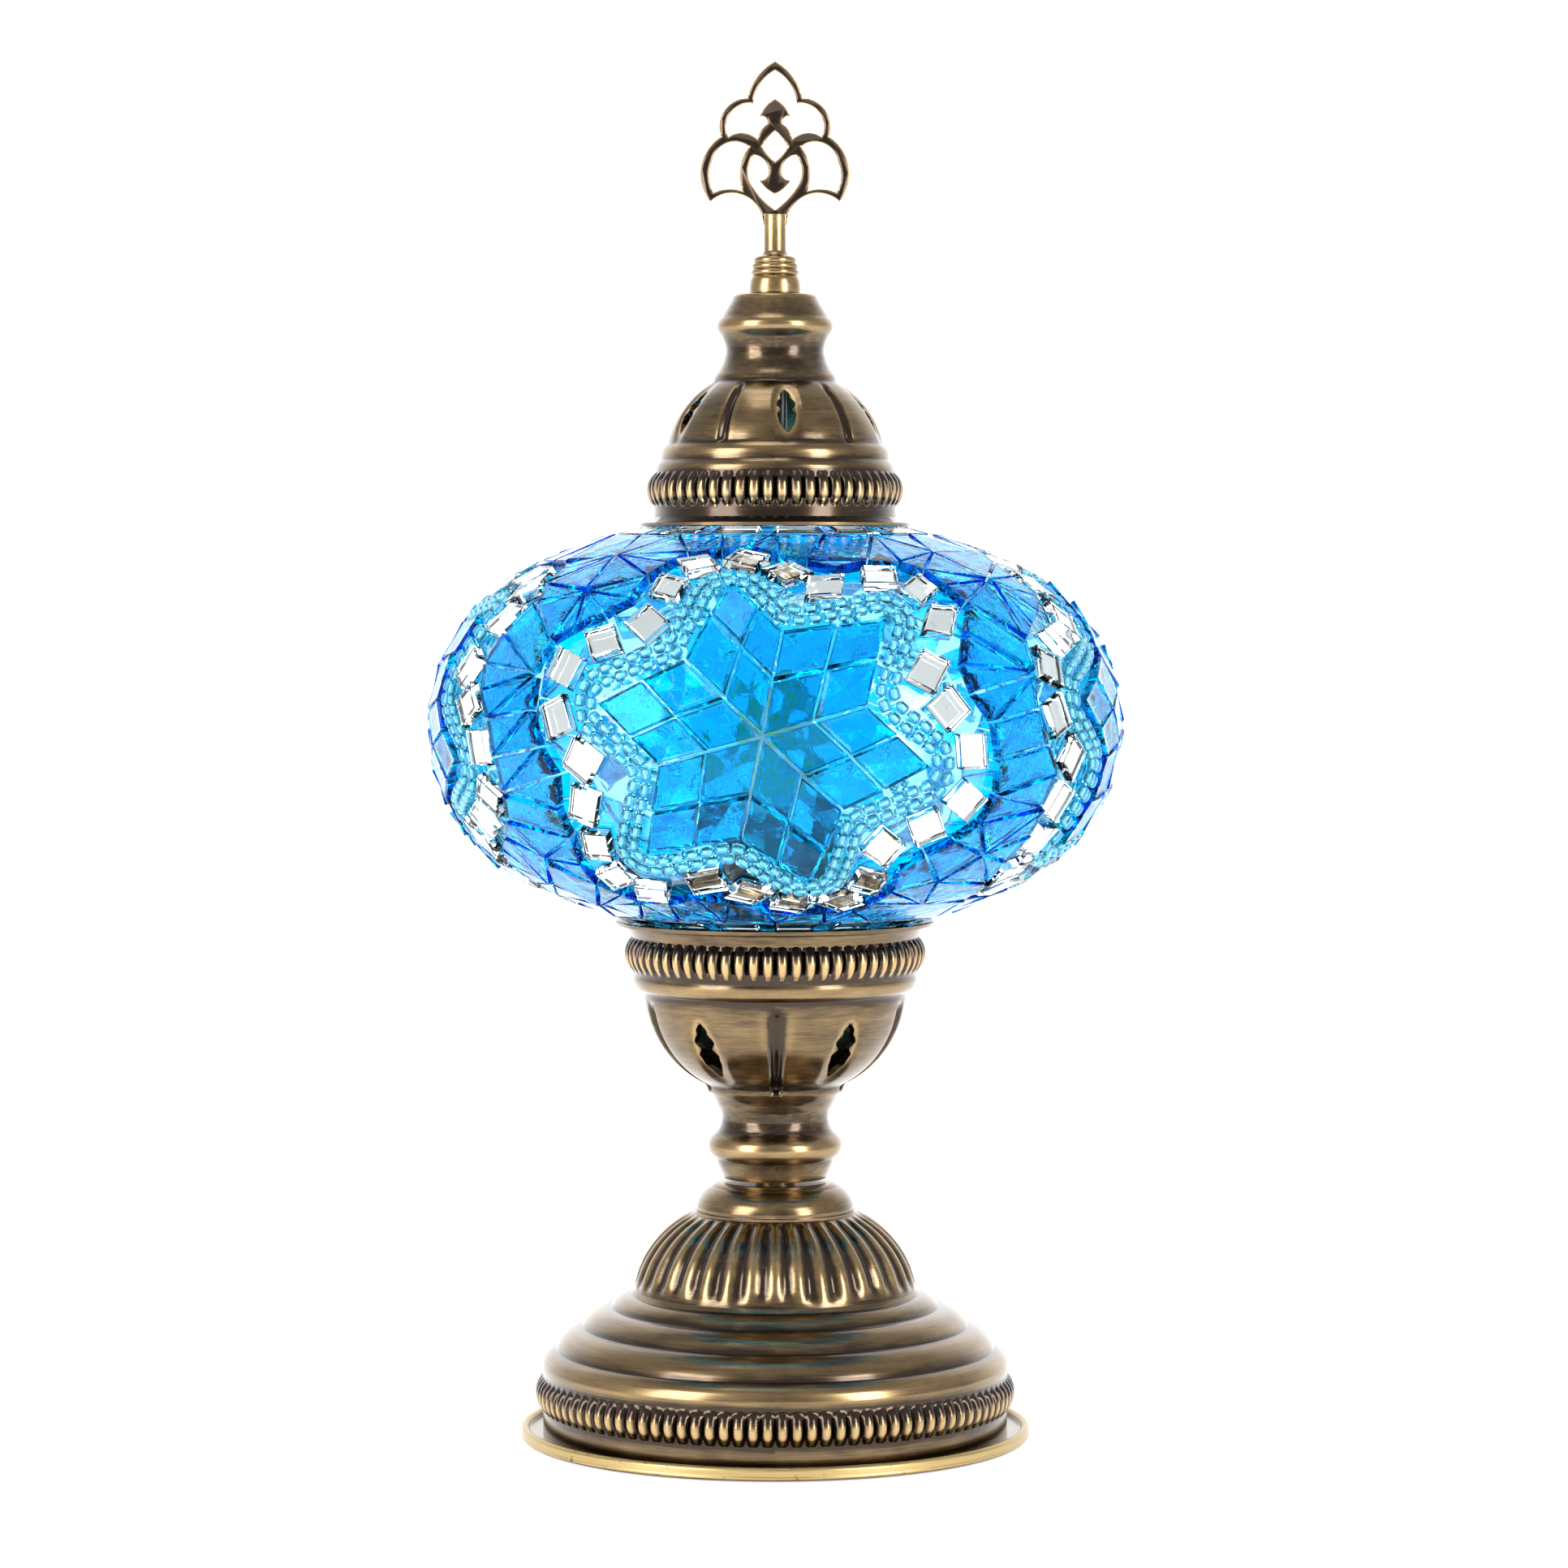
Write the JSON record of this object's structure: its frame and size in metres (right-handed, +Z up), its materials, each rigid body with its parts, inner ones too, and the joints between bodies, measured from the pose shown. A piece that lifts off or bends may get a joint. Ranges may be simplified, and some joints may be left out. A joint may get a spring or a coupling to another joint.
{
  "type": "mosaic glass table lamp",
  "caption": "Table lamp with a spun brass base, cup and cap around a round globe of coloured glass mosaic, with an openwork finial and a small screw-base bulb inside.",
  "frame": {"origin": "centre of the felt face that the lamp stands on", "axes": "+Z up along the lamp's axis, front towards -Y, cord inlet at the back towards +Y"},
  "size_m": [0.1781, 0.1781, 0.3509],
  "materials": {
    "antique_brass": "dark patina, brushed by spinning, rubbed bright on high edges",
    "bright_brass": "brushed, clear lacquer",
    "zinc_steel": "zinc plated",
    "weight_iron": "sand cast, black lacquer",
    "felt": "black self-adhesive felt",
    "clear_glass": "blown, fire polished",
    "azure_glass": "cast sheet glass, rippled",
    "cobalt_glass": "cast sheet glass, rippled",
    "aqua_glass": "polished",
    "silvered_glass": "clear glass, silvered behind",
    "black_plastic": "moulded thermoset",
    "white_plastic": "moulded",
    "seal_rubber": "matt",
    "wire_brown": "PVC sleeve, live conductor",
    "wire_blue": "PVC sleeve, neutral conductor",
    "contact_brass": "stamped, bright",
    "nickel_cap": "nickel plated",
    "led_board": "white solder mask",
    "led_phosphor": "yellow phosphor under clear silicone"
  },
  "bodies": {
    "base": {"felt_pad": "felt", "base_tray": "bright_brass", "bottom_washer": "zinc_steel", "bottom_nut": "zinc_steel", "base_weight": "weight_iron", "weight_nut": "zinc_steel", "base_cover": "antique_brass", "cord_grommet": "black_plastic", "terminal_block": "white_plastic", "terminal_screws": "zinc_steel", "stem_tube": "zinc_steel", "live_wire": "wire_brown", "neutral_wire": "wire_blue", "base_collar": "antique_brass", "lower_cup": "antique_brass", "gallery_plate": "zinc_steel", "gallery_nut": "zinc_steel", "globe_seat_ring": "seal_rubber", "holder_cap": "black_plastic", "holder_insert": "white_plastic", "holder_barrel": "black_plastic", "thread_shell": "contact_brass", "shade_ring": "black_plastic", "centre_contact": "contact_brass"},
    "bulb": {"bulb_tip_contact": "nickel_cap", "bulb_insulator": "black_plastic", "bulb_screw_cap": "nickel_cap", "bulb_housing": "white_plastic", "led_column": "led_board", "bulb_top_board": "led_board", "led_chips": "led_phosphor"},
    "globe": {"glass_globe": "clear_glass", "star_tiles": "azure_glass", "bead_row_outer": "aqua_glass", "bead_row_inner": "aqua_glass", "mirror_tiles": "silvered_glass", "field_tiles": "cobalt_glass", "band_tiles": "aqua_glass", "band_mirrors": "silvered_glass"},
    "cap": {"top_cap": "antique_brass", "cap_strap": "zinc_steel", "finial_stud": "zinc_steel", "strap_upper_nut": "zinc_steel", "strap_lower_nut": "zinc_steel"},
    "finial": {"finial": "antique_brass"}
  },
  "joints": [
    {"name": "globe_lift", "type": "slide", "parent": "base", "child": "globe", "axis": [0, 0, 1], "range_m": [0, 0.12]},
    {"name": "cap_lift", "type": "slide", "parent": "globe", "child": "cap", "axis": [0, 0, 1], "range_m": [0, 0.06]},
    {"name": "finial_turn", "type": "hinge", "parent": "cap", "child": "finial", "pos_m": [0, 0, 0.295], "axis": [0, 0, 1], "range_deg": [0, 2160]},
    {"name": "bulb_turn", "type": "hinge", "parent": "base", "child": "bulb", "pos_m": [0, 0, 0.15], "axis": [0, 0, 1], "range_deg": [0, 1080]}
  ]
}
